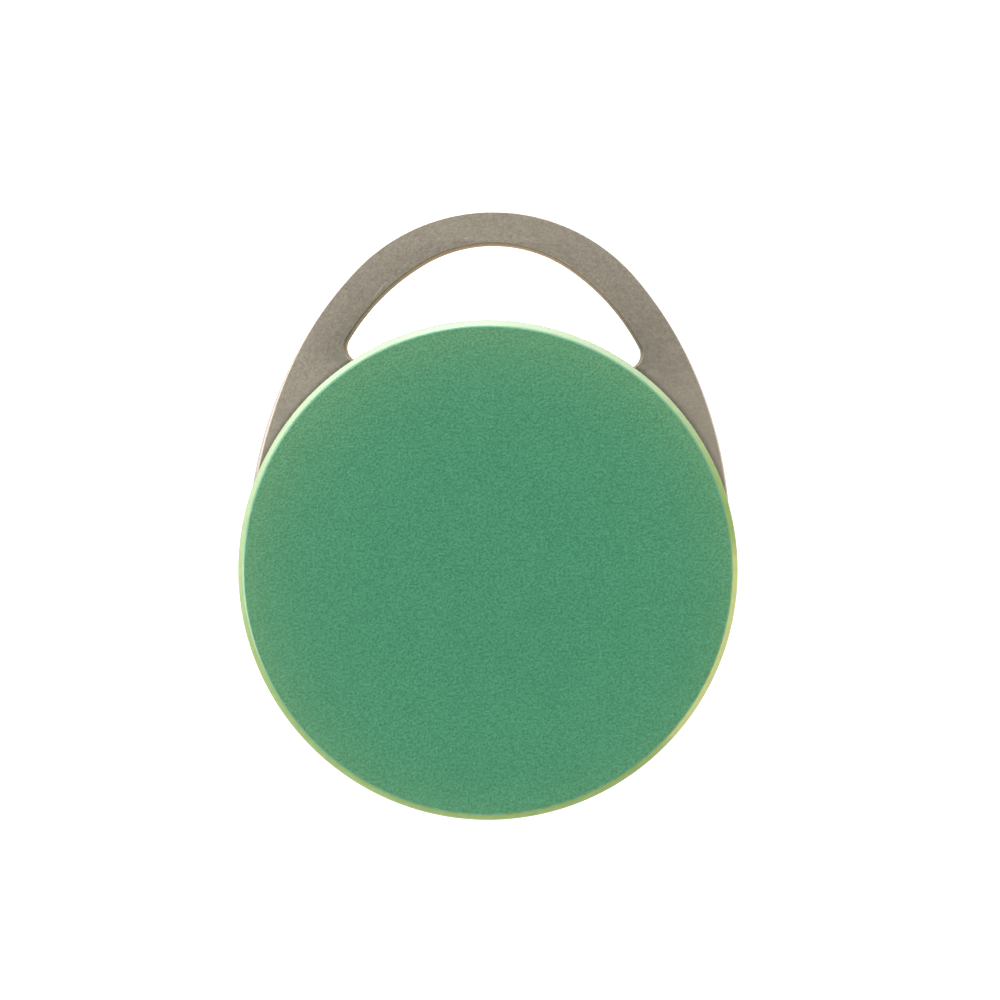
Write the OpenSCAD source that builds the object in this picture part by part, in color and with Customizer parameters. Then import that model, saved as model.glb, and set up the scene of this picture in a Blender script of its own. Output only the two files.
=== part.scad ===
// Round tag with a flat steel key loop. Millimetres.
// The back face lies on Z = 0, the front faces +Z and the key loop stands out towards +Y.
// Every sub-part is a module of its own, drawn in its place.

/* [Case] */
// diameter of the round case
case_d = 32.0; // [31.8:0.1:32.4]
// height of the case, back face to front face
case_h = 8.0; // [8:0.1:8.5]
// width of the bevel round the front face
bevel_w = 0.4; // [0.2:0.05:0.5]
// height of the bevel round the front face
bevel_t = 0.3; // [0.2:0.05:0.5]
// rounding between the back face and the side
back_r = 0.8; // [0.4:0.1:0.9]
// thickness of the side walls
wall = 1.2; // [1.1:0.05:1.2]
// thickness of the front wall
front_t = 1.0; // [0.8:0.1:1]
// thickness of the back wall
floor_t = 1.0; // [0.9:0.05:1]

/* [Front press] */
// how far the front sinks when it is pressed
press = 0.25; // [0.1:0.05:0.25]
// width of the seam round the case at rest
seam = 0.3; // [0.3:0.05:0.4]

/* [Key loop] */
// thickness of the steel plate
loop_t = 1.0; // [0.8:0.1:1]
// radius of the top arc outside
loop_r = 12.44; // [12.3:0.02:12.6]
// height of the top arc's centre above the case's axis
loop_cy = 11.07; // [10.8:0.01:11.4]
// radius of the side arcs outside
loop_side_r = 26.49; // [26:0.1:27]
// angle at which the top arc meets the side arcs outside
loop_th = 41.4; // [41:0.1:42]
// radius of the opening's top arc
open_r = 8.88; // [8.6:0.02:9]
// height of the opening's top arc's centre
open_cy = 12.47; // [12.3:0.01:12.6]
// radius of the opening's side arcs
open_side_r = 14.35; // [14:0.05:14.6]
// angle at which the opening's top arc meets its side arcs
open_th = 57.8; // [57:0.1:58.5]
// rounding of the opening's lower corners
open_corner = 0.95; // [0.8:0.05:1.1]

/* [Cell] */
// diameter of the coin cell
cell_d = 20.0; // [19.8:0.1:20]
// height of the coin cell
cell_h = 3.2; // [3:0.1:3.2]

/* [Fasteners] */
// number of screws that hold the steel plate
loop_screw_n = 3; // [2:1:3]
// diameter of a screw's head
head_d = 1.9; // [1.6:0.1:2]
// diameter of a screw's shank
shank_d = 0.76; // [0.6:0.02:0.78]

/* [Show] */
// the sub-part to draw

/* [Hidden] */
$fn = 128;
eps = 0.02;
case_r = case_d / 2;
wall_in = case_r - wall;
// heights of the stack
loop_z = 3.2;
split_z = loop_z + loop_t;
skirt_z = split_z + seam;
board_z = 5.0;
board_t = 0.6;
board_top = board_z + board_t;
board_r = 13.9;
under_z = case_h - front_t;
// front moulding
skirt_in = wall_in + 0.1;
nub_r = 0.8;
nub_gap = 0.05;
hook_angles = [30, 150, 270];
hook_span = 12;
hook_in = 14.45;
hook_z0 = split_z + 0.4;
hook_z1 = hook_z0 + 0.3;
rib_r = 6.0;
rib_w = 0.35;
rib_h = 0.25;
// battery bore and door
bore_r = 11.5;
bore_wall = 1.1;
bore_top = 2.4;
door_r = bore_r - 0.1;
door_t = 0.9;
collar_r = door_r - 0.05;
collar_in = 10.25;
collar_z = 2.3;
ring_z = 1.6;
ring_c = 11.09;
ring_s = 0.375;
groove_r = 10.7;
groove_h = 0.9;
notch_w = 3.4;
// cell
cell_r = cell_d / 2;
cell_z = 1.25;
cell_top = cell_z + cell_h;
crimp_in = 9.35;
// inner moulding
well_in = 10.15;
well_out = 10.75;
well_z = 2.6;
flange_r = 14.7;
lip_in = 14.1;
lip_z = 5.9;
window_span = 16;
// steel plate
plate_in = 11.2;
plate_out = 14.6;
arm_y = -2.5;
skim = 0.003;
loop_side_c = [-(loop_side_r - loop_r) * cos(loop_th), loop_cy - (loop_side_r - loop_r) * sin(loop_th)];
open_side_c = [-(open_side_r - open_r) * cos(open_th), open_cy - (open_side_r - open_r) * sin(open_th)];
open_low_r = case_r - 0.1;
loop_y0 = 1.0;
corner_c = meet([0, 0], open_low_r + open_corner, open_side_c, open_side_r - open_corner);
corner_a0 = atan2(corner_c[1] - open_side_c[1], corner_c[0] - open_side_c[0]);
corner_a1 = atan2(corner_c[1], corner_c[0]);
// fasteners
screw_r = 13.0;
loop_screw_angles = loop_screw_n == 3 ? [15, 90, 165] : [40, 140];
board_screw_r = 12.7;
board_screw_angles = [215, 325];
boss_r = 1.0;
contact_angles = [200, 340];
piezo_y = 7.15;
// switch under the middle of the front
switch_w = 3.0;
switch_h = 0.5;
switch_floor = 0.12;
cover_t = 0.1;
cover_top = board_top + switch_h + cover_t;
nub_z = cover_top + press + nub_gap;
plunger_z = board_top + switch_floor + press + eps;
rib_angles = [52, 70, 110, 128];

// the right-hand crossing of two circles with centres a and b
function meet(a, ra, b, rb) =
    let (d = norm(b - a), u = (b - a) / d, k = (d * d + ra * ra - rb * rb) / (2 * d))
    let (h = sqrt(ra * ra - k * k), m = a + k * u)
    let (p = m + h * [u[1], -u[0]], q = m - h * [u[1], -u[0]])
    p[0] > q[0] ? p : q;

function polar(r, a) = [r * cos(a), r * sin(a)];

module ring(r1, r0, z0, z1) {
    translate([0, 0, z0])
        difference() {
            cylinder(h = z1 - z0, r = r1);
            translate([0, 0, -1])
                cylinder(h = z1 - z0 + 2, r = r0);
        }
}

// a block centred on a point of the board, standing on z0
module block(at, size, z0, turn = 0) {
    translate([at[0], at[1], z0])
        rotate([0, 0, turn])
            translate([-size[0] / 2, -size[1] / 2, 0])
                cube(size);
}

module cross_head(d, h) {
    difference() {
        union() {
            cylinder(h = h - 0.12, d = d);
            translate([0, 0, h - 0.12])
                cylinder(h = 0.12, d1 = d, d2 = d - 0.24);
        }
        for (a = [0, 90])
            rotate([0, 0, a])
                translate([-0.55, -0.12, h - 0.28])
                    cube([1.1, 0.24, 1]);
    }
}

// ---- mouldings of the case ----

module cap_profile() {
    polygon([
        [0, under_z], [skirt_in, under_z], [skirt_in, skirt_z], [case_r - 0.12, skirt_z],
        [case_r, skirt_z + 0.12], [case_r, case_h - bevel_t], [case_r - bevel_w, case_h],
        [0, case_h]
    ]);
}

module hook_profile() {
    polygon([
        [skirt_in + 0.3, hook_z0], [hook_in + 0.15, hook_z0], [hook_in, hook_z0 + 0.15],
        [hook_in, hook_z1], [skirt_in + 0.3, hook_z1]
    ]);
}

module front_cap() {
    color([0.30, 0.57, 0.43])
    union() {
        rotate_extrude()
            cap_profile();
        // the nub that works the switch
        translate([0, 0, nub_z])
            cylinder(h = under_z - nub_z + 0.1, r = nub_r);
        // the rib round the sounder
        translate([0, piezo_y, 0])
            ring(rib_r + rib_w, rib_r, under_z - rib_h, under_z + 0.1);
        // the hooks that hold the front on the inner moulding
        for (a = hook_angles)
            rotate([0, 0, a - hook_span / 2])
                rotate_extrude(angle = hook_span)
                    hook_profile();
    }
}

module rear_profile() {
    difference() {
        square([case_r, split_z]);
        translate([case_r - back_r, 0])
            difference() {
                translate([0, -1])
                    square([back_r + 1, back_r + 1]);
                translate([0, back_r])
                    circle(r = back_r);
            }
        translate([-1, floor_t])
            square([wall_in + 1, split_z]);
        translate([-1, -1])
            square([bore_r + 1, split_z]);
        translate([case_r - 0.12, split_z])
            polygon([[0, 0], [0.2, 0.08], [0.2, -0.2], [0.12, -0.12]]);
    }
}

module rear_case() {
    color([0.29, 0.56, 0.42])
    difference() {
        union() {
            rotate_extrude()
                rear_profile();
            // the wall of the battery bore
            ring(bore_r + bore_wall, bore_r, floor_t - 0.2, bore_top);
            // screw bosses under the steel plate
            for (a = loop_screw_angles)
                translate([screw_r * cos(a), screw_r * sin(a), floor_t - 0.2])
                    cylinder(h = loop_z - floor_t + 0.2, r = boss_r);
            // screw bosses under the board
            for (a = board_screw_angles)
                translate([board_screw_r * cos(a), board_screw_r * sin(a), floor_t - 0.2])
                    cylinder(h = split_z - floor_t + 0.2, r = boss_r);
            // ribs that carry the plate
            for (a = rib_angles)
                rotate([0, 0, a])
                    translate([bore_r + bore_wall / 2, -0.4, floor_t - 0.2])
                        cube([wall_in - bore_r - bore_wall / 2 + 0.3, 0.8, loop_z - floor_t + 0.2]);
        }
        // the pocket where the plate passes through the wall
        translate([0, 0, loop_z])
            linear_extrude(height = loop_t + 1)
                difference() {
                    plate_outline(-0.1, loop_y0 - 0.15);
                    circle(r = plate_in);
                }
        // screw holes
        for (a = loop_screw_angles)
            translate([screw_r * cos(a), screw_r * sin(a), floor_t + 0.5])
                cylinder(h = 4, d = shank_d + 0.04);
        for (a = board_screw_angles)
            translate([board_screw_r * cos(a), board_screw_r * sin(a), floor_t + 0.9])
                cylinder(h = 4, d = shank_d + 0.04);
        // bore, with a shallow seat for the O-ring
        translate([0, 0, -1])
            cylinder(h = 4, r = bore_r);
        translate([0, 0, ring_z])
            rotate_extrude()
                translate([11.15, 0])
                    circle(r = 0.45);
        // fingernail notch beside the door
        translate([0, -bore_r - 0.2, -1])
            cylinder(h = 1.7, d = notch_w);
    }
}

// ---- the steel plate ----

// the plate's outer edge, moved in by d, above the line y = y0
module plate_outline(d, y0) {
    yt = loop_cy + (loop_r - d) * sin(loop_th);
    translate([0, loop_cy])
        circle(r = loop_r - d + skim);
    intersection() {
        translate(loop_side_c)
            circle(r = loop_side_r - d);
        translate([-loop_side_c[0], loop_side_c[1]])
            circle(r = loop_side_r - d);
        translate([-40, y0])
            square([80, yt - y0]);
    }
}

// the sector at one lower corner of the opening that the rounding replaces
module corner_wedge() {
    n = 6;
    a1 = corner_a1 - 180;
    translate(corner_c)
        polygon(concat([[0, 0]], [for (i = [0:n]) polar(4, corner_a0 + (a1 - corner_a0) * i / n)]));
}

// the opening, grown by d
module plate_opening(d) {
    yt = open_cy + (open_r + d) * sin(open_th);
    difference() {
        union() {
            translate([0, open_cy])
                circle(r = open_r + d + skim);
            intersection() {
                translate(open_side_c)
                    circle(r = open_side_r + d);
                translate([-open_side_c[0], open_side_c[1]])
                    circle(r = open_side_r + d);
                translate([-40, 5])
                    square([80, yt - 5]);
            }
        }
        circle(r = open_low_r - d);
        corner_wedge();
        mirror([1, 0])
            corner_wedge();
    }
    for (x = [-corner_c[0], corner_c[0]])
        translate([x, corner_c[1]])
            circle(r = open_corner + d + skim);
}

module steel_loop() {
    color([0.60, 0.57, 0.53])
    difference() {
        // the loop outside and the two arms inside the case, in one flat blank
        translate([0, 0, loop_z])
            linear_extrude(height = loop_t)
                difference() {
                    union() {
                        plate_outline(0, loop_y0);
                        intersection() {
                            circle(r = plate_out);
                            translate([-20, arm_y])
                                square([40, 20]);
                        }
                    }
                    circle(r = plate_in);
                    plate_opening(0);
                }
        for (a = loop_screw_angles)
            translate([screw_r * cos(a), screw_r * sin(a), loop_z - 1])
                cylinder(h = loop_t + 2, d = shank_d + 0.34);
    }
}

module loop_screws() {
    color([0.75, 0.75, 0.74])
    for (a = loop_screw_angles)
        translate([screw_r * cos(a), screw_r * sin(a), 0]) {
            translate([0, 0, split_z])
                cross_head(head_d, 0.5);
            translate([0, 0, floor_t + 0.7])
                cylinder(h = split_z - floor_t - 0.6, d = shank_d);
        }
}

// ---- inner moulding and seal ----

module mid_frame() {
    color([0.13, 0.14, 0.15])
    difference() {
        union() {
            ring(well_out, well_in, well_z, board_z);
            ring(flange_r, well_out - 0.3, split_z, board_z);
            ring(flange_r, lip_in, board_z - 0.2, lip_z);
        }
        // clearance for the heads of the plate's screws
        for (a = loop_screw_angles)
            translate([screw_r * cos(a), screw_r * sin(a), split_z - 1])
                cylinder(h = 4, d = head_d + 0.4);
        for (a = board_screw_angles)
            translate([board_screw_r * cos(a), board_screw_r * sin(a), split_z - 1])
                cylinder(h = 4, d = shank_d + 0.3);
        // pockets for the side contacts
        for (a = contact_angles)
            rotate([0, 0, a])
                translate([9.5, -1.5, well_z - 1])
                    cube([2.8, 3, 6]);
        // windows for the hooks of the front
        for (a = hook_angles)
            rotate([0, 0, a - window_span / 2])
                rotate_extrude(angle = window_span)
                    translate([hook_in - 0.15, split_z - 1])
                        square([2, hook_z1 + 0.05 - split_z + 1]);
    }
}

module face_seal() {
    color([0.20, 0.20, 0.20])
    ring(flange_r - 0.05, lip_in + 0.05, lip_z + eps, under_z - eps);
}

// ---- battery door ----

module door_profile() {
    difference() {
        polygon([
            [0, 0], [door_r - 0.2, 0], [door_r, 0.2], [door_r, door_t], [collar_r, door_t],
            [collar_r, collar_z - 0.2], [collar_r - 0.2, collar_z], [collar_in, collar_z],
            [collar_in, door_t], [0, door_t]
        ]);
        translate([groove_r, ring_z - groove_h / 2])
            square([2, groove_h]);
    }
}

module battery_door() {
    color([0.28, 0.55, 0.41])
    difference() {
        rotate_extrude()
            door_profile();
        // undercut for a fingernail
        translate([-notch_w / 2 + 0.3, -door_r - 1, 0.4])
            cube([notch_w - 0.6, 1.45, 0.35]);
    }
}

module door_oring() {
    color([0.10, 0.10, 0.11])
    translate([0, 0, ring_z])
        rotate_extrude()
            translate([ring_c, 0])
                circle(r = ring_s);
}

module battery_pad() {
    color([0.25, 0.26, 0.28])
    ring(7.5, 4.5, door_t, cell_z - eps);
}

// ---- coin cell ----

module can_profile() {
    r = 0.35;
    difference() {
        square([cell_r, cell_h - 0.18]);
        translate([cell_r - r, 0])
            difference() {
                translate([0, -1])
                    square([r + 1, r + 1]);
                translate([0, r])
                    circle(r = r);
            }
        translate([cell_r - 0.25, cell_h - 0.18])
            difference() {
                translate([0, -0.25])
                    square([1, 1]);
                translate([0, -0.25])
                    circle(r = 0.25);
            }
        translate([-1, cell_h - 0.5])
            square([crimp_in + 1, 1]);
        // the shallow step pressed into the flat side
        translate([cell_r - 1.6, -1])
            square([0.12, 1.06]);
    }
}

module cell_can() {
    color([0.78, 0.78, 0.77])
    translate([0, 0, cell_z])
        rotate_extrude()
            can_profile();
}

module cell_gasket() {
    color([0.85, 0.85, 0.80])
    ring(crimp_in - 0.01, crimp_in - 0.33, cell_top - 0.5, cell_top - 0.16);
}

module cell_cap() {
    r = crimp_in - 0.35;
    color([0.74, 0.74, 0.73])
    translate([0, 0, cell_top - 0.5])
        rotate_extrude()
            polygon([[0, 0], [r, 0], [r, 0.2], [r - 0.45, 0.5], [0, 0.5]]);
}

// ---- contacts ----

module negative_contact() {
    color([0.86, 0.72, 0.42])
    translate([0, 1.5, 0])
        rotate([90, 0, 0])
            linear_extrude(height = 3)
                polygon([
                    [-6, board_z - 0.15], [-3.5, board_z - 0.15], [1.5, cell_top + eps],
                    [2.3, cell_top + eps], [3.2, cell_top + 0.17], [3.2, cell_top + 0.32],
                    [2.2, cell_top + 0.17], [1.6, cell_top + 0.17], [-3.4, board_z], [-6, board_z]
                ]);
}

module positive_contacts() {
    t = 0.15;
    x0 = cell_r + 0.35;
    x1 = cell_r + 0.03;
    color([0.86, 0.72, 0.42])
    for (a = contact_angles)
        rotate([0, 0, a])
            translate([0, 1.1, 0])
                rotate([90, 0, 0])
                    linear_extrude(height = 2.2)
                        polygon([
                            [x0, board_z], [x0, 4.0], [x1, 3.5], [x0, 3.0], [x0 + t, 3.0],
                            [x1 + t, 3.5], [x0 + t, 4.0], [x0 + t, board_z - t],
                            [x0 + 1.6, board_z - t], [x0 + 1.6, board_z]
                        ]);
}

// ---- circuit board ----

module pcb() {
    color([0.05, 0.23, 0.16])
    difference() {
        translate([0, 0, board_z])
            cylinder(h = board_t, r = board_r);
        for (a = board_screw_angles)
            translate([board_screw_r * cos(a), board_screw_r * sin(a), board_z - 1])
                cylinder(h = 3, d = shank_d + 0.24);
        // locating notches in the rim
        for (a = [0, 180])
            rotate([0, 0, a])
                translate([board_r, 0, board_z - 1])
                    cylinder(h = 3, r = 0.6);
    }
}

module pcb_screws() {
    color([0.75, 0.75, 0.74])
    for (a = board_screw_angles)
        translate([board_screw_r * cos(a), board_screw_r * sin(a), 0]) {
            translate([0, 0, board_top])
                cross_head(head_d, 0.5);
            translate([0, 0, floor_t + 1.2])
                cylinder(h = board_top - floor_t - 1.1, d = shank_d);
        }
}

module radio_chip() {
    color([0.09, 0.09, 0.10])
    difference() {
        block([-6.2, -2.2], [5, 5, 0.78], board_top);
        translate([-8.1, -0.3, board_top + 0.74])
            cylinder(h = 1, r = 0.28);
    }
}

module motion_sensor() {
    color([0.11, 0.11, 0.12])
    difference() {
        block([4.3, -3.4], [2.0, 2.0, 0.75], board_top);
        translate([3.6, -2.7, board_top + 0.71])
            cylinder(h = 1, r = 0.13);
    }
}

module main_crystal() {
    color([0.80, 0.78, 0.72])
    union() {
        block([-9.7, 2.4], [2.0, 2.5, 0.3], board_top);
        block([-9.7, 2.4], [1.7, 2.2, 0.5], board_top);
    }
}

module clock_crystal() {
    color([0.82, 0.80, 0.75])
    union() {
        block([-2.2, -6.8], [3.2, 1.5, 0.4], board_top);
        block([-2.2, -6.8], [2.9, 1.2, 0.65], board_top);
    }
}

module chip_antenna() {
    color([0.88, 0.88, 0.84])
    union() {
        block([0, -11.4], [6.2, 2.0, 0.8], board_top);
        for (x = [-3.25, 3.25])
            block([x, -11.4], [0.5, 2.04, 0.84], board_top);
    }
}

capacitor_at = [
    [-9.9, -1.2, 90], [-9.9, -3.2, 90], [-7.4, -5.6, 0], [-5.6, -5.6, 0], [-4.9, -9.2, 90],
    [-7.8, 0.95, 0], [6.4, -6.6, 0], [2.3, -3.9, 90], [10.9, 3.6, 90], [-2.4, 2.6, 0]
];

module capacitors() {
    color([0.62, 0.53, 0.42])
    for (c = capacitor_at)
        translate([c[0], c[1], board_top])
            rotate([0, 0, c[2]]) {
                translate([-0.5, -0.25, 0])
                    cube([1.0, 0.5, 0.5]);
                for (s = [-1, 1])
                    translate([s * 0.4 - 0.12, -0.27, 0])
                        cube([0.24, 0.54, 0.52]);
            }
}

resistor_at = [
    [0.9, -4.6, 90], [2.2, -7.0, 0], [3.9, -7.0, 0], [5.6, -8.0, 90], [-3.6, -9.2, 90],
    [-11.4, 0.6, 90], [2.6, 2.7, 0], [10.9, 5.6, 90]
];

module resistors() {
    color([0.10, 0.10, 0.11])
    for (c = resistor_at)
        translate([c[0], c[1], board_top])
            rotate([0, 0, c[2]]) {
                translate([-0.5, -0.25, 0])
                    cube([1.0, 0.5, 0.33]);
                for (s = [-1, 1])
                    translate([s * 0.4 - 0.12, -0.27, 0])
                        cube([0.24, 0.54, 0.35]);
            }
}

module buffer_capacitor() {
    color([0.80, 0.58, 0.20])
    union() {
        block([8.6, 1.2], [3.1, 2.5, 0.95], board_top);
        for (x = [6.95, 10.25])
            block([x, 1.2], [0.5, 1.8, 0.55], board_top);
    }
}

module boost_inductor() {
    color([0.20, 0.20, 0.21])
    intersection() {
        block([8.4, -3.2], [3, 3, 0.95], board_top);
        block([8.4, -3.2], [3.7, 3.7, 0.95], board_top, 45);
    }
}

// ---- switch under the middle of the front ----

module switch_base() {
    color([0.12, 0.12, 0.12])
    difference() {
        block([0, 0], [switch_w, switch_w, switch_h], board_top);
        translate([0, 0, board_top + switch_floor])
            cylinder(h = 2, r = 1.15);
    }
}

module switch_cover() {
    color([0.80, 0.80, 0.78])
    difference() {
        block([0, 0], [switch_w, switch_w, cover_t], cover_top - cover_t);
        translate([0, 0, board_top])
            cylinder(h = 2, r = 0.85);
    }
}

module switch_plunger() {
    color([0.15, 0.15, 0.16])
    union() {
        translate([0, 0, plunger_z])
            cylinder(h = 0.09, r = 1.0);
        translate([0, 0, plunger_z + 0.01])
            cylinder(h = nub_z - eps - plunger_z - 0.01, r = 0.7);
    }
}

// ---- sounder ----

module piezo_plate() {
    color([0.83, 0.68, 0.36])
    translate([0, piezo_y, under_z - 0.15])
        cylinder(h = 0.15, r = 5.8);
}

module piezo_ceramic() {
    color([0.88, 0.87, 0.82])
    translate([0, piezo_y, under_z - 0.27])
        cylinder(h = 0.12, r = 4.2);
}

module spring_clip(top) {
    t = 0.12;
    z0 = board_top;
    translate([0, 0.5, 0])
        rotate([90, 0, 0])
            linear_extrude(height = 1)
                polygon([
                    [0, z0], [1.6, z0], [1.9, z0 + 0.3], [0.2, top - 0.2], [0.3, top - t],
                    [0.9, top - t], [1.2, top - 0.25], [1.3, top - 0.2], [1.0, top],
                    [0.2, top], [0.02, top - 0.2], [1.72, z0 + 0.3], [1.5, z0 + t], [0, z0 + t]
                ]);
}

module piezo_springs() {
    color([0.87, 0.73, 0.43])
    union() {
        translate([-2.6, 8.6, 0])
            spring_clip(under_z - 0.27 - eps);
        translate([4.3, 7.6, 0])
            spring_clip(under_z - 0.15 - eps);
    }
}

// ---- drawing ----

front_cap();
rear_case();
steel_loop();
loop_screws();
mid_frame();
face_seal();
battery_door();
door_oring();
battery_pad();
cell_can();
cell_cap();
cell_gasket();
negative_contact();
positive_contacts();
pcb();
pcb_screws();
radio_chip();
motion_sensor();
main_crystal();
clock_crystal();
chip_antenna();
capacitors();
resistors();
buffer_capacitor();
boost_inductor();
switch_base();
switch_cover();
switch_plunger();
piezo_plate();
piezo_ceramic();
piezo_springs();
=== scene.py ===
import bmesh
import bpy
import math
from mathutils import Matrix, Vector
from mathutils.geometry import tessellate_polygon


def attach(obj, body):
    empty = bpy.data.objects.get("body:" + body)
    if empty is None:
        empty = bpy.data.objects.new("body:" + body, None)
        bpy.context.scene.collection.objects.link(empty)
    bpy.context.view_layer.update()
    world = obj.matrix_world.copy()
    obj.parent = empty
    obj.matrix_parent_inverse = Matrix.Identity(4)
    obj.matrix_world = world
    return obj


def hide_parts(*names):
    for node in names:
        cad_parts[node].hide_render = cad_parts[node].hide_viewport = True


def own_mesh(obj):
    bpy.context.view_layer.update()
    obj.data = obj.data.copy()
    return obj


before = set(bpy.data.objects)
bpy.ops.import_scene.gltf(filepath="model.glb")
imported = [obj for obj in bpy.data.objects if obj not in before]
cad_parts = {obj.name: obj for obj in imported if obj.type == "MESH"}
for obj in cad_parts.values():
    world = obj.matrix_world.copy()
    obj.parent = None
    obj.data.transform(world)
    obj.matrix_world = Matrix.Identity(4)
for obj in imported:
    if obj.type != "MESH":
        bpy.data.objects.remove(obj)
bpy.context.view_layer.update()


MM = 0.001

# The numbers below are those of the CAD, in mm.
CASE_R, CASE_H = 16.0, 8.0
SEAM_TOP = 4.5  # lower edge of the front's skirt
SKIRT_R, FACE_UNDER = 14.9, 7.0  # inside of the skirt and of the face
NUB_R, NUB_Z = 0.8, 6.5  # the nub that presses the switch
BEVEL_W, BEVEL_T = 0.40, 0.30
LOOP_Z, LOOP_T = 3.2, 1.0  # underside and thickness of the plate
# outline of the plate and of its opening: top radius and its centre, side radius, turn where they meet
LOOP_R, LOOP_Y, LOOP_SIDE_R, LOOP_TURN = 12.44, 11.07, 26.49, 41.4
OPEN_R, OPEN_Y, OPEN_SIDE_R, OPEN_TURN, OPEN_CORNER = 8.88, 12.47, 14.35, 57.8, 0.95
# the two arms inside the case
ARM_OUT_R, ARM_IN_R, ARM_LOW_Y, ARM_TOP_Y = 14.6, 11.2, -2.5, 1.0
LOOP_SCREW_R, LOOP_SCREW_HOLE = 13, 0.55

# ---------------------------------------------------------------- shader helpers


class Graph:
    """A material with a Principled shader and object coordinates in millimetres."""

    def __init__(self, name):
        self.m = bpy.data.materials.new(name)
        self.m.use_nodes = True
        self.t = self.m.node_tree
        self.t.nodes.clear()
        self.out = self.new("ShaderNodeOutputMaterial")
        self.b = self.new("ShaderNodeBsdfPrincipled")
        self.link(self.b.outputs[0], self.out.inputs[0])
        co = self.new("ShaderNodeTexCoord")
        mp = self.new("ShaderNodeMapping")
        mp.inputs["Scale"].default_value = (1000, 1000, 1000)
        self.link(co.outputs["Object"], mp.inputs[0])
        self.mm = mp.outputs[0]

    def new(self, kind):
        return self.t.nodes.new(kind)

    def link(self, a, b):
        self.t.links.new(a, b)

    def put(self, socket, value):
        if hasattr(value, "is_linked"):
            self.link(value, socket)
        else:
            socket.default_value = value

    def set(self, **values):
        for name, value in values.items():
            self.put(self.b.inputs[name.replace("_", " ")], value)
        return self

    def moved(self, scale=(1, 1, 1), turn=(0, 0, 0), at=(0, 0, 0), vector=None):
        n = self.new("ShaderNodeMapping")
        n.inputs["Scale"].default_value = scale
        n.inputs["Rotation"].default_value = turn
        n.inputs["Location"].default_value = at
        self.link(vector or self.mm, n.inputs[0])
        return n.outputs[0]

    def noise(self, scale, detail=3, rough=0.55, vector=None):
        n = self.new("ShaderNodeTexNoise")
        self.link(vector or self.mm, n.inputs["Vector"])
        n.inputs["Scale"].default_value = scale
        n.inputs["Detail"].default_value = detail
        n.inputs["Roughness"].default_value = rough
        return n.outputs[0]

    def cells(self, scale, feature="F1", vector=None):
        n = self.new("ShaderNodeTexVoronoi")
        n.feature = feature
        self.link(vector or self.mm, n.inputs["Vector"])
        n.inputs["Scale"].default_value = scale
        return n.outputs["Distance"]

    def ramp(self, fac, stops):
        n = self.new("ShaderNodeValToRGB")
        e = n.color_ramp.elements
        while len(e) < len(stops):
            e.new(0.5)
        for k, (pos, c) in zip(e, stops):
            k.position = pos
            k.color = (c, c, c, 1)
        self.link(fac, n.inputs[0])
        return n.outputs[0]

    def math(self, op, a, b=0.0, clamp=False):
        n = self.new("ShaderNodeMath")
        n.operation = op
        n.use_clamp = clamp
        for socket, value in zip(n.inputs, (a, b)):
            self.put(socket, value)
        return n.outputs[0]

    def span(self, value, lo, hi, a=0.0, b=1.0):
        n = self.new("ShaderNodeMapRange")
        self.link(value, n.inputs["Value"])
        n.inputs["From Min"].default_value = lo
        n.inputs["From Max"].default_value = hi
        n.inputs["To Min"].default_value = a
        n.inputs["To Max"].default_value = b
        return n.outputs[0]

    def mix(self, fac, a, b, blend="MIX"):
        n = self.new("ShaderNodeMix")
        n.data_type = "RGBA"
        n.blend_type = blend
        self.put(n.inputs[0], fac)
        self.put(n.inputs[6], a if hasattr(a, "is_linked") else (*a, 1))
        self.put(n.inputs[7], b if hasattr(b, "is_linked") else (*b, 1))
        return n.outputs[2]

    def xyz(self):
        n = self.new("ShaderNodeSeparateXYZ")
        self.link(self.mm, n.inputs[0])
        return n.outputs

    def radius(self, x0=0.0, y0=0.0):
        """Distance from a vertical line, in mm."""
        x, y, _ = self.xyz()
        xx = self.math("POWER", self.math("SUBTRACT", x, x0), 2.0)
        yy = self.math("POWER", self.math("SUBTRACT", y, y0), 2.0)
        return self.math("SQRT", self.math("ADD", xx, yy))

    def rings(self):
        """Coordinates that run round the object's axis, for turned and pressed faces."""
        n = self.new("ShaderNodeCombineXYZ")
        self.link(self.math("MULTIPLY", self.radius(), 3.0), n.inputs[0])
        x, y, _ = self.xyz()
        turn = self.math("ARCTAN2", y, x)
        self.link(self.math("SINE", turn), n.inputs[1])
        self.link(self.math("COSINE", turn), n.inputs[2])
        return n.outputs[0]

    def bump(self, height, depth_mm, normal=None):
        n = self.new("ShaderNodeBump")
        n.inputs["Distance"].default_value = depth_mm * MM
        n.inputs["Strength"].default_value = 1.0
        self.link(height, n.inputs["Height"])
        if normal:
            self.link(normal, n.inputs["Normal"])
        return n.outputs[0]

    def rounded(self, radius_mm):
        """Normals rounded over the sharp edges of a CAD node; None for a radius of 0 or None."""
        if not radius_mm:
            return None
        n = self.new("ShaderNodeBevel")
        n.samples = 6
        n.inputs["Radius"].default_value = radius_mm * MM
        return n.outputs[0]


def srgb(r, g, b):
    """A linear colour from 8-bit screen values above 10."""
    return tuple(((v / 255 + 0.055) / 1.055) ** 2.4 for v in (r, g, b))


def scaled(rgb, factor, offset=0.0):
    """A colour times a factor plus an offset, held to 1."""
    return tuple(min(1.0, v * factor + offset) for v in rgb)


# ---------------------------------------------------------------- materials

GREEN = (0.0333, 0.2095, 0.1007)
# painted sheen: the colour added to the face near its rim
PAINTED_RIM_SHEEN = (0.041, 0.032, 0.009)


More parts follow.
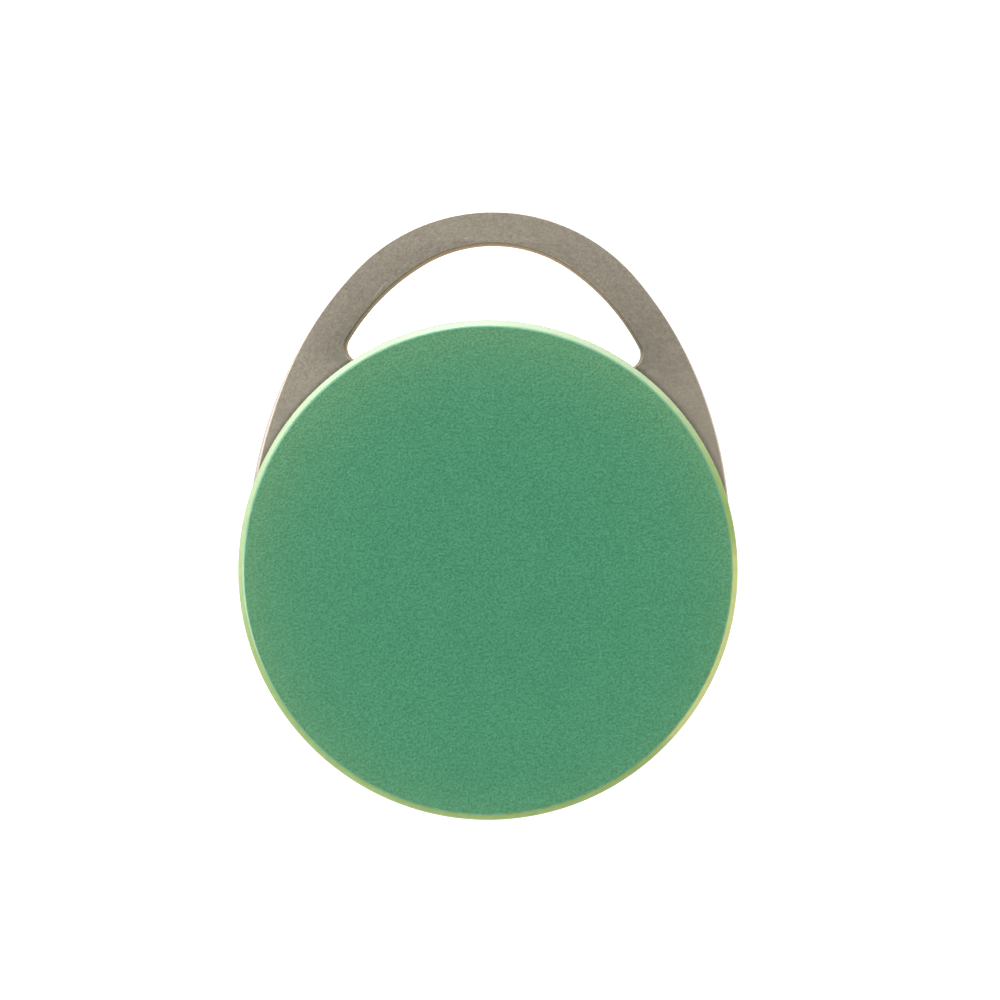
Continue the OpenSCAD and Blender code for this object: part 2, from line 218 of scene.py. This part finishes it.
def green_shell(name, edge=None, rim=False):
    """Moulded plastic with a fine eroded grain; rim adds a painted sheen that turns the colour paler
    towards the bevel and the top left.
    """
    g = Graph(name)
    grain = g.noise(6.6, 1, 0.5)
    fine = g.noise(13.0, 1, 0.5)
    broad = g.noise(0.35, 2, 0.5)
    height = g.math("ADD", grain, g.math("MULTIPLY", fine, 0.6))
    tone = g.math("ADD", g.span(height, 0.55, 1.05, -0.5, 0.5), g.span(broad, 0.3, 0.7, -0.03, 0.03))
    dark, light = scaled(GREEN, 0.82, -0.014), scaled(GREEN, 1.18, 0.014)
    colour = g.mix(g.math("ADD", tone, 0.5, clamp=True), dark, light)
    if rim:
        # painted sheen and glow: paler towards the rim, most on the top left where the light falls
        painted_sheen = g.ramp(g.math("DIVIDE", g.radius(), CASE_R),
                      [(0.4, 0.0), (0.66, 0.13), (0.81, 0.30), (0.906, 0.58), (0.956, 1.0)])
        x, y, z = g.xyz()
        toward_light = g.math("SUBTRACT", y, g.math("MULTIPLY", x, 0.5))
        painted_sheen = g.math("MULTIPLY", painted_sheen, g.span(toward_light, -17, 17, 0.48, 1.48))
        painted_sheen = g.math("MULTIPLY", painted_sheen, g.math("GREATER_THAN", z, CASE_H - 0.1))
        colour = g.mix(painted_sheen, colour, PAINTED_RIM_SHEEN, "ADD")
    speck = g.ramp(g.cells(1.1), [(0.0, 1.0), (0.045, 0.0)])
    colour = g.mix(g.math("MULTIPLY", speck, 0.35), colour, scaled(GREEN, 2.2))
    g.set(Base_Color=colour, Roughness=g.span(grain, 0.3, 0.7, 0.50, 0.62), Specular_IOR_Level=0.45,
          Normal=g.bump(height, 0.055, g.rounded(edge)))
    return g.m


def green_bevel(name):
    """The same plastic where the tool is polished; its paler, yellower colour is painted light that stands
    in for light through and off the edge.
    """
    g = Graph(name)
    # painted light: a pale yellow-olive copy of the green plastic
    colour = g.mix(g.span(g.noise(1.4, 2), 0.35, 0.65), (0.200, 0.315, 0.072), (0.232, 0.355, 0.084))
    g.set(Base_Color=colour, Roughness=0.20, Specular_IOR_Level=1.0,
          Normal=g.bump(g.noise(3.0, 2), 0.0008))
    return g.m


def green_shoulder(name):
    """The polished round between the face and the bevel, with a painted highlight."""
    g = Graph(name)
    x, y, _ = g.xyz()
    # painted highlight: pale mint on the top left, dark olive on the lower right, where the light falls
    lit = g.span(g.math("SUBTRACT", y, g.math("MULTIPLY", x, 0.6)), -14, 14)
    colour = g.mix(lit, (0.09, 0.22, 0.07), (0.13, 0.40, 0.23))
    colour = g.mix(g.span(g.noise(2.2, 2), 0.35, 0.65), colour, (0.105, 0.31, 0.17))
    g.set(Base_Color=colour, Roughness=0.25, Specular_IOR_Level=0.9,
          Normal=g.bump(g.noise(3.0, 2), 0.0008))
    return g.m


RUB_Y, RUB_R = 12.3, 9.62  # the line that a key ring has rubbed: centre and radius, mm


def steel_plate(name):
    """Stainless blank, tumbled: pitted satin with soft clouding and faint scratches, painted shade towards
    the case and a painted shadow line along it.
    """
    g = Graph(name)
    fine = g.noise(7.5, 2, 0.6)
    cloud = g.noise(0.9, 3, 0.6)
    streak = g.noise(1.0, 3, 0.6, g.moved((1.2, 9.0, 1.0), (0, 0, math.radians(12))))
    pits = g.ramp(g.cells(1.7), [(0.0, 1.0), (0.07, 0.0)])
    long_cells = g.moved((1.0, 5.0, 1.0), (0, 0, math.radians(-35)))
    nicks = g.ramp(g.cells(1.3, "F1", long_cells), [(0.0, 1.0), (0.06, 0.0)])
    tone = g.math("ADD", g.span(fine, 0.3, 0.7, -0.22, 0.22), g.span(cloud, 0.3, 0.7, -0.11, 0.11))
    tone = g.math("ADD", tone, g.span(streak, 0.3, 0.7, -0.09, 0.09))
    colour = g.mix(g.math("ADD", tone, 0.5, clamp=True), (0.460, 0.406, 0.318), (0.628, 0.561, 0.444))
    _, y, _ = g.xyz()
    # painted shade: the plate darker towards the case, lighter towards its top
    colour = g.mix(g.span(y, 19.5, 8, 0.0, 0.24), colour, (0.20, 0.18, 0.15))
    colour = g.mix(g.math("MULTIPLY", g.math("MAXIMUM", pits, nicks), 0.7), colour, (0.95, 0.93, 0.88))
    off_rub = g.math("ABSOLUTE", g.math("SUBTRACT", g.radius(0.0, RUB_Y), RUB_R))
    rub = g.math("LESS_THAN", off_rub, 0.03)
    rub = g.math("MULTIPLY", rub, g.span(g.noise(0.7, 3, 0.7), 0.50, 0.62))
    colour = g.mix(g.math("MULTIPLY", rub, 0.5), colour, (0.95, 0.92, 0.85))
    # painted shadow: a dark line on the plate just outside the case's rim
    painted_contact_shadow = g.ramp(g.math("DIVIDE", g.radius(), 20.0), [(0.80, 1.0), (0.822, 0.85), (0.834, 0.0)])
    colour = g.mix(g.math("MULTIPLY", painted_contact_shadow, 0.55), colour, (0.12, 0.10, 0.09))
    height = g.math("ADD", fine, g.math("MULTIPLY", g.noise(2.6, 2), 0.9))
    height = g.math("SUBTRACT", height, g.math("MULTIPLY", pits, 0.5))
    g.set(Base_Color=colour, Metallic=1.0, Roughness=g.span(fine, 0.3, 0.7, 0.36, 0.44),
          Normal=g.bump(height, 0.006))
    return g.m


def painted_shade_wall(name, dark, light):
    """The plate's punched wall, rougher than the flat; its colour is painted shade, darker towards its top.
    """
    g = Graph(name)
    lines = g.noise(2.2, 3, 0.65, g.moved((3.0, 3.0, 1.6)))
    _, _, z = g.xyz()
    # painted shade: the wall darker towards its top
    painted_shade_ramp = g.span(z, LOOP_Z + LOOP_T - 0.05, LOOP_Z + 0.2)
    tone = g.math("ADD", painted_shade_ramp, g.span(lines, 0.3, 0.7, -0.2, 0.2), clamp=True)
    g.set(Base_Color=g.mix(tone, dark, light), Metallic=1.0, Roughness=g.span(lines, 0.3, 0.7, 0.45, 0.6),
          Normal=g.bump(lines, 0.012))
    return g.m


def moulded(name, rgb, rough=0.5, grain=4.0, depth=0.003, edge=0.05):
    """Moulded or fired material with a faint grain."""
    g = Graph(name)
    n = g.noise(grain, 2)
    colour = g.mix(g.span(n, 0.3, 0.7), scaled(rgb, 0.9), scaled(rgb, 1.1))
    g.set(Base_Color=colour, Roughness=g.span(n, 0.3, 0.7, rough - 0.05, rough + 0.05),
          Specular_IOR_Level=0.5, Normal=g.bump(n, depth, g.rounded(edge)))
    return g.m


def metal(name, rgb, rough=0.3, pressed=False, stretch=(1, 1, 1)):
    """Bare or plated metal; pressed gives it a pattern that runs round the object's axis."""
    g = Graph(name)
    n = g.noise(4.0, 3, 0.6, g.rings() if pressed else g.moved(stretch))
    cloud = g.noise(0.8, 2)
    colour = g.mix(g.span(cloud, 0.3, 0.7), scaled(rgb, 0.93), scaled(rgb, 1.05))
    g.set(Base_Color=colour, Metallic=1.0, Roughness=g.span(n, 0.3, 0.7, rough - 0.06, rough + 0.06),
          Normal=g.bump(n, 0.0015, g.rounded(0.04)))
    return g.m


def foam(name, rgb):
    """Closed-cell foam."""
    g = Graph(name)
    c = g.cells(9.0)
    colour = g.mix(g.span(c, 0.0, 0.6), scaled(rgb, 1.5), scaled(rgb, 0.5))
    g.set(Base_Color=colour, Roughness=0.9, Specular_IOR_Level=0.2, Normal=g.bump(c, 0.03))
    return g.m


BOARD_Z, BOARD_HALF = 5.3, 0.255  # middle of the board's thickness and just less than half of it, mm


def board(name):
    """Solder mask over copper tracks, with gold vias; no copper under the antenna at the low end of Y."""
    g = Graph(name)
    x, y, z = g.xyz()
    web = g.cells(0.55, "DISTANCE_TO_EDGE", g.moved((1, 1, 0), (0, 0, 0.785)))
    track = g.ramp(web, [(0.03, 1.0), (0.045, 0.0)])
    pour = g.span(g.noise(0.35, 0, 0.5), 0.47, 0.48)
    copper = g.math("MAXIMUM", g.math("MULTIPLY", track, 0.8), g.math("MULTIPLY", pour, 0.45))
    clear = g.span(y, -9.7, -9.6)
    copper = g.math("MULTIPLY", copper, clear)
    mask = g.mix(copper, srgb(12, 62, 42), srgb(30, 108, 66))
    side = g.math("LESS_THAN", g.math("ABSOLUTE", g.math("SUBTRACT", z, BOARD_Z)), BOARD_HALF)
    mask = g.mix(side, mask, srgb(140, 132, 84))
    via = g.math("LESS_THAN", g.cells(0.42, "F1", g.moved((1, 1, 0), (0, 0, 0.3))), 0.055)
    mask = g.mix(g.math("MULTIPLY", via, clear), mask, srgb(205, 175, 105))
    g.set(Base_Color=mask, Roughness=0.28, Specular_IOR_Level=0.5,
          Normal=g.bump(g.math("ADD", copper, g.math("MULTIPLY", g.noise(6.0, 1), 0.1)), 0.02))
    return g.m


def chip_part(name, rgb):
    """Body of a chip capacitor or resistor, glazed all over."""
    g = Graph(name)
    n = g.noise(7.0, 2)
    colour = g.mix(g.span(n, 0.3, 0.7), scaled(rgb, 0.85), scaled(rgb, 1.15))
    g.set(Base_Color=colour, Roughness=0.35, Normal=g.bump(n, 0.002, g.rounded(0.03)))
    return g.m


# ---------------------------------------------------------------- geometry helpers

MERGE = 0.0015  # mm; points nearer than this are one


def arc(centre, r, a0, a1, n):
    """n + 1 points on an arc, angles in degrees."""
    turns = [math.radians(a0 + (a1 - a0) * i / n) for i in range(n + 1)]
    return [(centre[0] + r * math.cos(a), centre[1] + r * math.sin(a)) for a in turns]


def revolve(verts, faces, kinds, profile, segments, kind_of=None, centre=(0, 0), span=None):
    """Adds a solid turned about a vertical line; profile is (r, z) in mm, closed unless it meets r = 0."""
    full = span is None
    a0, a1 = (0, 360) if full else span
    steps = segments if full else segments + 1
    on_axis = [abs(p[0]) < 1e-9 for p in profile]
    index = []
    for j, (r, z) in enumerate(profile):
        if on_axis[j]:
            index.append([len(verts)] * steps)
            verts.append((centre[0] * MM, centre[1] * MM, z * MM))
        else:
            row = []
            for i in range(steps):
                a = math.radians(a0 + (a1 - a0) * i / segments)
                row.append(len(verts))
                x, y = centre[0] + r * math.cos(a), centre[1] + r * math.sin(a)
                verts.append((x * MM, y * MM, z * MM))
            index.append(row)
    m = len(profile)
    last = m if not (on_axis[0] and on_axis[-1]) else m - 1
    for j in range(last):
        a, b = index[j], index[(j + 1) % m]
        for i in range(segments):
            k = (i + 1) % steps if full else i + 1
            quad = [a[i], a[k], b[k], b[i]]
            quad = list(dict.fromkeys(quad))
            if len(quad) > 2:
                faces.append(quad)
                kinds.append(kind_of(profile[j], profile[(j + 1) % m]) if kind_of else 0)
    if not full:
        for end in (0, steps - 1):
            cap = [row[end] for row in index]
            faces.append(cap if end == 0 else cap[::-1])
            kinds.append(0)


def mesh_object(name, verts, faces, kinds, materials, smooth_angle):
    me = bpy.data.meshes.new(name)
    me.from_pydata(verts, [], faces)
    for m in materials:
        me.materials.append(m)
    for p, k in zip(me.polygons, kinds):
        p.material_index = k
    me.validate()
    o = bpy.data.objects.new(name, me)
    bpy.context.scene.collection.objects.link(o)
    tidy_normals(o)
    smooth(o, smooth_angle)
    return o


def tidy_normals(o):
    """Merges points that coincide and turns every face outwards."""
    bm = bmesh.new()
    bm.from_mesh(o.data)
    bmesh.ops.remove_doubles(bm, verts=bm.verts, dist=MERGE * MM)
    bmesh.ops.recalc_face_normals(bm, faces=bm.faces)
    bm.to_mesh(o.data)
    bm.free()


def smooth(o, angle):
    """Smooth shading, but sharp at edges above an angle in degrees."""
    o.data.polygons.foreach_set("use_smooth", [True] * len(o.data.polygons))
    o.data.set_sharp_from_angle(angle=math.radians(angle))


# ---------------------------------------------------------------- front moulding

SHOULDER, RIM, FOOT = 0.30, 0.08, 0.12  # small radii: face to bevel, bevel to side, lower corner, mm


def front_profile():
    """(r, z) of the front moulding, with the small radii that the CAD leaves out."""
    tilt = math.degrees(math.atan2(BEVEL_T, BEVEL_W))
    lean_in = SHOULDER * math.tan(math.radians(tilt / 2))
    lean_out = RIM * math.tan(math.radians(45 - tilt / 2))
    face = [(r, CASE_H) for r in (0, 4, 8, 12, 15, 15.4)]
    top = arc((CASE_R - BEVEL_W - lean_in, CASE_H - SHOULDER), SHOULDER, 90, 90 - tilt, 10)
    rim = arc((CASE_R - RIM, CASE_H - BEVEL_T - lean_out), RIM, 90 - tilt, 0, 6)
    side = [(CASE_R, 6.5), (CASE_R, 5.2)]
    foot = arc((CASE_R - FOOT, SEAM_TOP + FOOT), FOOT, 0, -90, 5)
    inside = [(SKIRT_R + 0.08, SEAM_TOP), (SKIRT_R, SEAM_TOP + 0.08), (SKIRT_R, FACE_UNDER - 0.15),
              (SKIRT_R - 0.15, FACE_UNDER), (10, FACE_UNDER)]
    nub = [(NUB_R, FACE_UNDER), (NUB_R, NUB_Z + 0.05), (NUB_R - 0.05, NUB_Z), (0, NUB_Z)]
    return face + top + rim + side + foot + inside + nub


def front_finish(p, q):
    """0 on the grained face and side, 2 on the shoulder, 1 on the bevel."""
    r, z = (p[0] + q[0]) / 2, (p[1] + q[1]) / 2
    if r < CASE_R - BEVEL_W - 0.065 or z < CASE_H - BEVEL_T - 0.02:
        return 0
    return 2 if r < CASE_R - BEVEL_W + 0.05 else 1


SHARP = 32  # degrees; a turned face's edges above this stay sharp


def united(body, extra):
    """Joins a second object to the first as one closed skin."""
    union = body.modifiers.new("union", "BOOLEAN")
    union.operation = "UNION"
    union.solver = "EXACT"
    union.object = extra
    bpy.context.view_layer.update()
    done = body.evaluated_get(bpy.context.evaluated_depsgraph_get())
    me = bpy.data.meshes.new_from_object(done)
    body.modifiers.clear()
    body.data = me
    bpy.data.objects.remove(extra)
    tidy_normals(body)
    smooth(body, SHARP)
    return body


SOUNDER_Y = 7.15
SOUNDER_RING = [(6.33, 7.05), (6.33, 6.8), (6.28, 6.75), (6.05, 6.75), (6.0, 6.8), (6.0, 7.05)]
HOOK = [(15.2, 4.6), (14.6, 4.6), (14.45, 4.75), (14.45, 4.9), (15.2, 4.9)]
HOOK_TURNS, HOOK_HALF = (30, 150, 270), 6  # degrees


def front_cap():
    """The turned moulding, joined with the ring that the sounder is bonded to and the three hooks."""
    finishes = [green_shell("front_plastic", rim=True), green_bevel("front_bevel"),
                green_shoulder("front_shoulder")]
    v, f, k = [], [], []
    revolve(v, f, k, front_profile(), 384, front_finish)
    body = mesh_object("front_shell", v, f, k, finishes, SHARP)
    v, f, k = [], [], []
    revolve(v, f, k, SOUNDER_RING, 96, centre=(0, SOUNDER_Y))
    for a in HOOK_TURNS:
        revolve(v, f, k, HOOK, 12, span=(a - HOOK_HALF, a + HOOK_HALF))
    o = united(body, mesh_object("front_ribs", v, f, k, finishes, SHARP))
    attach(o, "face")
    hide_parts("front_cap")


front_cap()

# ---------------------------------------------------------------- steel loop


def mirrored(points):
    """The same points on the other side of the YZ plane, in the other order."""
    return [(-x, y) for x, y in points[::-1]]


def loop_outline():
    """The outside of the plate with its two arms inside the case, in mm."""
    away = LOOP_SIDE_R - LOOP_R
    turn = math.radians(LOOP_TURN)
    side = (-away * math.cos(turn), LOOP_Y - away * math.sin(turn))
    low = math.degrees(math.asin((ARM_TOP_Y - side[1]) / LOOP_SIDE_R))
    right = arc(side, LOOP_SIDE_R, low, LOOP_TURN, 90)
    top = arc((0, LOOP_Y), LOOP_R, LOOP_TURN, 180 - LOOP_TURN, 140)
    arm_low = math.degrees(math.asin(ARM_LOW_Y / ARM_OUT_R))
    arm_in = math.degrees(math.asin(ARM_LOW_Y / ARM_IN_R))
    arm_top = math.degrees(math.asin(ARM_TOP_Y / ARM_OUT_R))
    arm = arc((0, 0), ARM_OUT_R, arm_low, arm_top, 12)
    inner = arc((0, 0), ARM_IN_R, 180 - arm_in, arm_in, 120)
    return arm + right + top[1:-1] + mirrored(right) + mirrored(arm) + inner


def opening_outline():
    """The opening of the plate, in mm: its lower side follows the case just inside the rim."""
    away = OPEN_SIDE_R - OPEN_R
    turn = math.radians(OPEN_TURN)
    side = (-away * math.cos(turn), OPEN_Y - away * math.sin(turn))
    low_r = CASE_R - 0.1
    # the corner's centre lies where a circle round the case meets one round the side's centre
    dist = math.hypot(*side)
    from_case, from_side = low_r + OPEN_CORNER, OPEN_SIDE_R - OPEN_CORNER
    along = (dist * dist + from_case * from_case - from_side * from_side) / (2 * dist)
    across = math.sqrt(from_case * from_case - along * along)
    ux, uy = side[0] / dist, side[1] / dist
    corner = max((along * ux + across * uy, along * uy - across * ux),
                 (along * ux - across * uy, along * uy + across * ux))
    a0 = math.degrees(math.atan2(corner[1] - side[1], corner[0] - side[0]))
    a1 = math.degrees(math.atan2(corner[1], corner[0]))
    half = arc(corner, OPEN_CORNER, a1 - 180, a0, 24)
    half += arc(side, OPEN_SIDE_R, a0, OPEN_TURN, 50)[1:]
    half += arc((0, OPEN_Y), OPEN_R, OPEN_TURN, 90, 60)[1:]
    bottom = arc((0, 0), low_r, a1, 180 - a1, 60)
    return half + mirrored(half[:-1]) + bottom[1:-1][::-1]


def inset(points, depths):
    """A closed outline moved to its left side, by a depth for each point."""
    out = []
    n = len(points)
    for i, ((x, y), d) in enumerate(zip(points, depths)):
        (ax, ay), (bx, by) = points[i - 1], points[(i + 1) % n]
        ux, uy = x - ax, y - ay
        vx, vy = bx - x, by - y
        lu, lv = math.hypot(ux, uy), math.hypot(vx, vy)
        nx, ny = -uy / lu - vy / lv, ux / lu + vx / lv
        length = math.hypot(nx, ny)
        lean = max(0.35, length / 2)
        out.append((x + nx / length * d / lean, y + ny / length * d / lean))
    return out


def area_of(points):
    """Signed area; positive when the outline runs anticlockwise."""
    return sum(a[0] * b[1] - b[0] * a[1] for a, b in zip(points, points[1:] + points[:1])) / 2


SAME_POINT = 0.004  # mm


def tidy_loop(points):
    """Drops points that fall on the one before them."""
    out = []
    for p in points:
        if not out or math.dist(p, out[-1]) > SAME_POINT:
            out.append(p)
    if math.dist(out[0], out[-1]) <= SAME_POINT:
        out.pop()
    return out


LOW_EDGE = 0.05  # radius of the plate's lower corner, mm
TOP_ROWS, WALL_ROWS = 10, 6  # rows of points from plate_edge


def plate_edge(wide, tall, draft=0.0):
    """(inset, z) down the punched edge: top corner worn to a quarter ellipse, then the lower corner."""
    top_z = LOOP_Z + LOOP_T
    turns = [math.radians(a) for a in range(0, 91, 10)]
    top = [(draft + wide - wide * math.sin(a), top_z - tall + tall * math.cos(a)) for a in turns]
    turns = [math.radians(a) for a in range(0, 91, 18)]
    foot = [(LOW_EDGE - LOW_EDGE * math.cos(a), LOOP_Z + LOW_EDGE - LOW_EDGE * math.sin(a)) for a in turns]
    return top + foot


def edge_at(x, y, outside):
    """The outside edge is worn most near the case and on the left; the holes have a drafted wall."""
    if not outside:
        return plate_edge(0.05, 0.05, 0.12 - 0.004 * x)
    low = min(1.0, max(0.0, (17.5 - y) / 9.0))
    low = low * low * (3 - 2 * low)
    return plate_edge(0.07 + low * (0.19 - 0.005 * x), 0.07 + 0.8 * low)


# the walls' colours are painted: shade on the outer wall, shade and warm light in the holes
TUMBLED, DARK_WALL_PAINT, WARM_WALL_PAINT = 0, 1, 2  # the plate's finishes, in the order of its material slots


def steel_loop():
    """The plate: five outlines carried down the edge in rows, and closed above and below."""
    screws = arc((0, 0), LOOP_SCREW_R, 15, 165, 2)
    screw_holes = [arc(at, LOOP_SCREW_HOLE, 0, 360, 32)[:-1] for at in screws]
    loops = []
    for n, pts in enumerate([loop_outline(), opening_outline()] + screw_holes):
        pts = tidy_loop(pts)
        if (area_of(pts) > 0) != (n == 0):
            pts = pts[::-1]
        loops.append(pts)
    v, f, k = [], [], []
    rows_down = TOP_ROWS + WALL_ROWS
    rims = {0: [], rows_down - 1: []}
    for n, pts in enumerate(loops):
        rows = []
        cuts = [edge_at(x, y, n == 0) for x, y in pts]
        for j in range(rows_down):
            ring = inset(pts, [cut[j][0] for cut in cuts])
            rows.append(list(range(len(v), len(v) + len(ring))))
            v += [(x * MM, y * MM, cut[j][1] * MM) for (x, y), cut in zip(ring, cuts)]
            if j in rims:
                rims[j].append(([Vector((x, y, 0)) for x, y in ring], rows[-1]))
        for j in range(rows_down - 1):
            a, b = rows[j], rows[j + 1]
            # painted shade on the outline's lower wall; painted shade and warm light on the walls of the
            # holes
            if n == 0:
                finish = DARK_WALL_PAINT if j >= TOP_ROWS - 2 else TUMBLED
            else:
                finish = WARM_WALL_PAINT if j >= TOP_ROWS // 2 else TUMBLED
            for i in range(len(a)):
                m = (i + 1) % len(a)
                f.append((a[i], a[m], b[m], b[i]))
                k.append(finish)
    for rim in rims.values():
        index = [i for _, row in rim for i in row]
        for tri in tessellate_polygon([ring for ring, _ in rim]):
            f.append(tuple(index[t] for t in tri))
            k.append(TUMBLED)
    # painted shade on the outer wall; painted shade and warm light on the holes' walls
    finishes = [steel_plate("tumbled_steel"),
                painted_shade_wall("painted_shade_wall", (0.16, 0.13, 0.11), (0.26, 0.22, 0.18)),
                painted_shade_wall("warm_shade_wall_paint", (0.17, 0.090, 0.032), (0.37, 0.218, 0.080))]
    o = mesh_object("key_loop", v, f, k, finishes, 40)
    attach(o, "case")
    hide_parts("steel_loop")


steel_loop()

# ---------------------------------------------------------------- materials of the CAD nodes

shell = green_shell("case_plastic", 0.08)
gold = metal("gold_plate", (0.86, 0.62, 0.26), 0.25)
tin = metal("tinned_steel", (0.72, 0.71, 0.69))
zinc = metal("zinc_screw", (0.66, 0.65, 0.62))
chip = moulded("chip_epoxy", (0.022, 0.022, 0.024), 0.45, 8.0, 0.002, 0.03)
black = moulded("black_frame", (0.018, 0.019, 0.021))
dark_foam = foam("dark_foam", (0.03, 0.03, 0.032))
looks = {
    "rear_case": shell,
    "battery_door": shell,
    "loop_screws": zinc,
    "pcb_screws": zinc,
    "mid_frame": black,
    "face_seal": dark_foam,
    "battery_pad": dark_foam,
    "door_oring": moulded("oring_rubber", (0.012, 0.012, 0.013), 0.35, 3.0, 0.002, 0),
    "cell_can": metal("cell_can_steel", (0.50, 0.49, 0.47), 0.30, pressed=True),
    "cell_cap": metal("cell_cap_steel", (0.46, 0.455, 0.44), 0.34, stretch=(6, 0.3, 1)),
    "cell_gasket": moulded("gasket_nylon", (0.62, 0.62, 0.56), 0.4),
    "negative_contact": gold,
    "positive_contacts": gold,
    "piezo_springs": gold,
    "pcb": board("solder_mask"),
    "radio_chip": chip,
    "motion_sensor": chip,
    "main_crystal": tin,
    "clock_crystal": tin,
    "chip_antenna": moulded("antenna_ceramic", (0.70, 0.70, 0.65), 0.5, 6.0, 0.002, 0.04),
    "capacitors": chip_part("capacitor_body", (0.30, 0.20, 0.12)),
    "resistors": chip_part("resistor_body", (0.02, 0.02, 0.022)),
    "buffer_capacitor": moulded("tantalum_epoxy", (0.62, 0.36, 0.05), 0.45, 6.0, 0.002, 0.05),
    "boost_inductor": moulded("ferrite", (0.05, 0.05, 0.052), 0.6, 5.0, 0.006, 0.05),
    "switch_base": black,
    "switch_cover": tin,
    "switch_plunger": black,
    "piezo_plate": metal("sounder_brass", (0.72, 0.50, 0.20), 0.28, stretch=(0.3, 5, 1)),
    "piezo_ceramic": moulded("sounder_ceramic", (0.66, 0.65, 0.60), 0.6, 6.0, 0.002, 0.02),
}
for node, m in looks.items():
    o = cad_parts[node]
    o.data.materials.clear()
    o.data.materials.append(m)

# ---------------------------------------------------------------- copies of the seal and the sounder clips


def gives(name, node):
    """A copy of a CAD node that stands in for it.
    """
    o = bpy.data.objects.new(name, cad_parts[node].data.copy())
    bpy.context.scene.collection.objects.link(o)
    tidy_normals(o)
    smooth(o, 32)
    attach(o, "case")
    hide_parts(node)
    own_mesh(o)


gives("foam_ring", "face_seal")
gives("sounder_clips", "piezo_springs")

# ---------------------------------------------------------------- stage, lights and camera


def light_table():
    """A pale translucent table top, lit a little from below."""
    g = Graph("light_table")
    tone = g.mix(g.span(g.noise(0.02, 2), 0.3, 0.7), (0.88, 0.88, 0.88), (0.90, 0.90, 0.90))
    g.set(Base_Color=tone, Roughness=0.8, Specular_IOR_Level=0.2, Emission_Strength=0.5,
          Emission_Color=(1.0, 1.0, 1.0, 1.0))
    half = 3.0
    corners = [(-half, -half, 0), (half, -half, 0), (half, half, 0), (-half, half, 0)]
    me = bpy.data.meshes.new("floor")
    me.from_pydata(corners, [], [(0, 1, 2, 3)])
    me.materials.append(g.m)
    o = bpy.data.objects.new("floor", me)
    bpy.context.scene.collection.objects.link(o)
    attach(o, "door")


LIGHT_DISTANCE = 0.60


def soft_light(name, azimuth, elevation, wide, tall, power, colour):
    """A softbox aimed at the object; azimuth runs from +X towards +Y, in degrees."""
    l = bpy.data.lights.new(name, "AREA")
    l.shape = "RECTANGLE"
    l.size = wide
    l.size_y = tall
    l.energy = power
    l.color = colour
    o = bpy.data.objects.new(name, l)
    bpy.context.scene.collection.objects.link(o)
    a, e = math.radians(azimuth), math.radians(elevation)
    way = Vector((math.cos(a) * math.cos(e), math.sin(a) * math.cos(e), math.sin(e)))
    o.location = way * LIGHT_DISTANCE + Vector((0, 0.004, 0.004))
    o.rotation_mode = "QUATERNION"
    o.rotation_quaternion = (-way).to_track_quat("-Z", "Y")
    o.visible_camera = False


WINDOW, WINDOW_POWER = 109, 6.5  # azimuth in degrees, and radiance at its middle
WINDOW_TINT = (0.915, 0.91, 1.19)
# height (sine of the elevation) and brightness, all round the table
SKY = [(0.0, 1.7), (0.05, 1.3), (0.14, 0.55), (0.35, 0.55),
       (0.50, 1.30), (0.75, 1.30), (0.90, 0.32), (1.0, 0.25)]
WINDOW_BAND = [(0.02, 0.0), (0.08, 1.0), (0.23, 1.0), (0.32, 0.0)]


def studio():
    """A ring of soft light high round the table, a low pale window behind the loop, and a dim zenith."""
    w = bpy.data.worlds.new("studio")
    w.use_nodes = True
    t = w.node_tree

    def node(kind, *inputs, **settings):
        n = t.nodes.new(kind)
        for name, value in settings.items():
            setattr(n, name, value)
        for socket, value in zip(n.inputs, inputs):
            if hasattr(value, "is_linked"):
                t.links.new(value, socket)
            else:
                socket.default_value = value
        return n

    def ramp(value, stops):
        n = node("ShaderNodeValToRGB", value)
        e = n.color_ramp.elements
        while len(e) < len(stops):
            e.new(0.5)
        for k, (height, v) in zip(e, stops):
            k.position = height
            k.color = (v, v, v, 1)
        return n.outputs[0]

    way = t.nodes.new("ShaderNodeTexCoord").outputs["Generated"]
    x, y, z = node("ShaderNodeSeparateXYZ", way).outputs
    left = node("ShaderNodeMath", x, -0.30, 1.0, operation="MULTIPLY_ADD").outputs[0]
    ring = ramp(z, SKY)
    band = ramp(z, WINDOW_BAND)
    a = math.radians(WINDOW)
    along_x = node("ShaderNodeMath", x, math.cos(a), operation="MULTIPLY").outputs[0]
    side = node("ShaderNodeMath", y, math.sin(a), along_x, operation="MULTIPLY_ADD", use_clamp=True)
    side = side.outputs[0]
    power = node("ShaderNodeMath", side, WINDOW_POWER, operation="MULTIPLY").outputs[0]
    window = node("ShaderNodeVectorMath", band, operation="SCALE")
    t.links.new(power, window.inputs["Scale"])
    cool = node("ShaderNodeVectorMath", window.outputs[0], WINDOW_TINT, operation="MULTIPLY")
    shaded = node("ShaderNodeVectorMath", ring, operation="SCALE")
    t.links.new(left, shaded.inputs["Scale"])
    total = node("ShaderNodeVectorMath", shaded.outputs[0], cool.outputs[0], operation="ADD")
    t.links.new(total.outputs[0], t.nodes["Background"].inputs[0])
    bpy.context.scene.world = w


light_table()
studio()
soft_light("fill", 100, 26, 0.26, 0.26, 1.0, (0.95, 0.98, 1.0))
soft_light("side", 192, 28, 0.26, 0.26, 1.1, (1.0, 0.97, 0.90))
soft_light("warm", -20, 12, 0.52, 0.22, 1.20, (1.0, 0.77, 0.42))
scene = bpy.context.scene
scene.view_settings.view_transform = "Standard"
scene.view_settings.look = "None"

cam = bpy.data.cameras.new("camera")
cam.sensor_width = 36
cam.lens = 67.63
cam.clip_start, cam.clip_end = 0.005, 20
eye = bpy.data.objects.new("camera", cam)
scene.collection.objects.link(eye)
eye.location = (0.000659, 0.004514, 0.128)
eye.rotation_euler = (0, 0, math.radians(1.48))
scene.camera = eye
